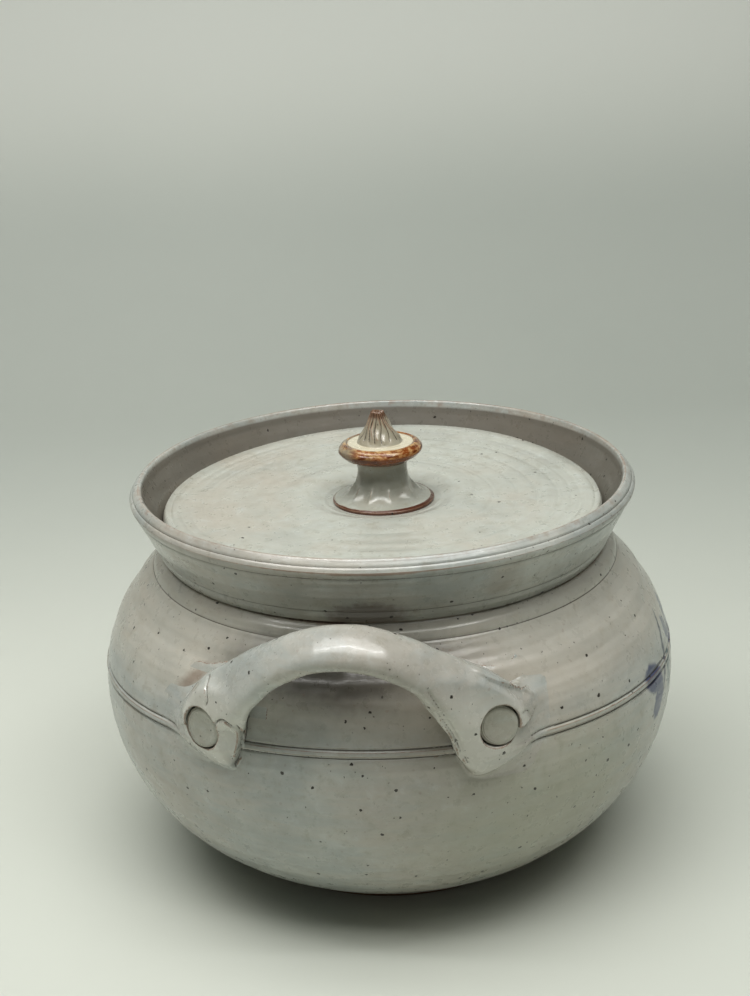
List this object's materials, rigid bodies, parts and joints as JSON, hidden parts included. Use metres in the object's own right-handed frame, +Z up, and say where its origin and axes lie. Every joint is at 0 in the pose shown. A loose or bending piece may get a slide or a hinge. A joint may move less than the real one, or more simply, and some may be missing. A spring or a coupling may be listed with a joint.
{
  "type": "lidded stoneware pot",
  "caption": "Round-bellied glazed stoneware pot with a flared collar, two arched lug handles and a flat lift-off lid with a turned knob.",
  "frame": {"origin": "on the pot's axis at the level that the foot stands on", "axes": "+Z up along the pot's axis and the lid's lift; the two handles on -Y (front) and +Y (back); the painted spray on +X"},
  "size_m": [0.2426, 0.2714, 0.1876],
  "materials": {
    "pot_glaze": "glossy pale grey glaze with iron specks",
    "pad_glaze": "glossy pale grey glaze, thin at the edges",
    "lid_glaze": "satin cream glaze with throwing rings",
    "iron_glaze": "glossy rust-brown glaze with golden breaks",
    "bare_clay": "matt unglazed stoneware"
  },
  "bodies": {
    "pot": {"pot_body": "pot_glaze", "foot_ring": "bare_clay", "rim_collar": "pot_glaze", "lid_gallery": "pot_glaze", "front_handle": "pot_glaze", "back_handle": "pot_glaze", "front_left_pad": "pad_glaze", "front_right_pad": "pad_glaze", "back_left_pad": "pad_glaze", "back_right_pad": "pad_glaze"},
    "lid": {"lid_plate": "lid_glaze", "lid_locating_ring": "bare_clay", "knob_pedestal": "lid_glaze", "knob_ring": "iron_glaze", "knob_finial": "lid_glaze"}
  },
  "joints": [
    {"name": "lid_lift", "type": "slide", "parent": "pot", "child": "lid", "axis": [0, 0, 1], "range_m": [0, 0.08]}
  ]
}
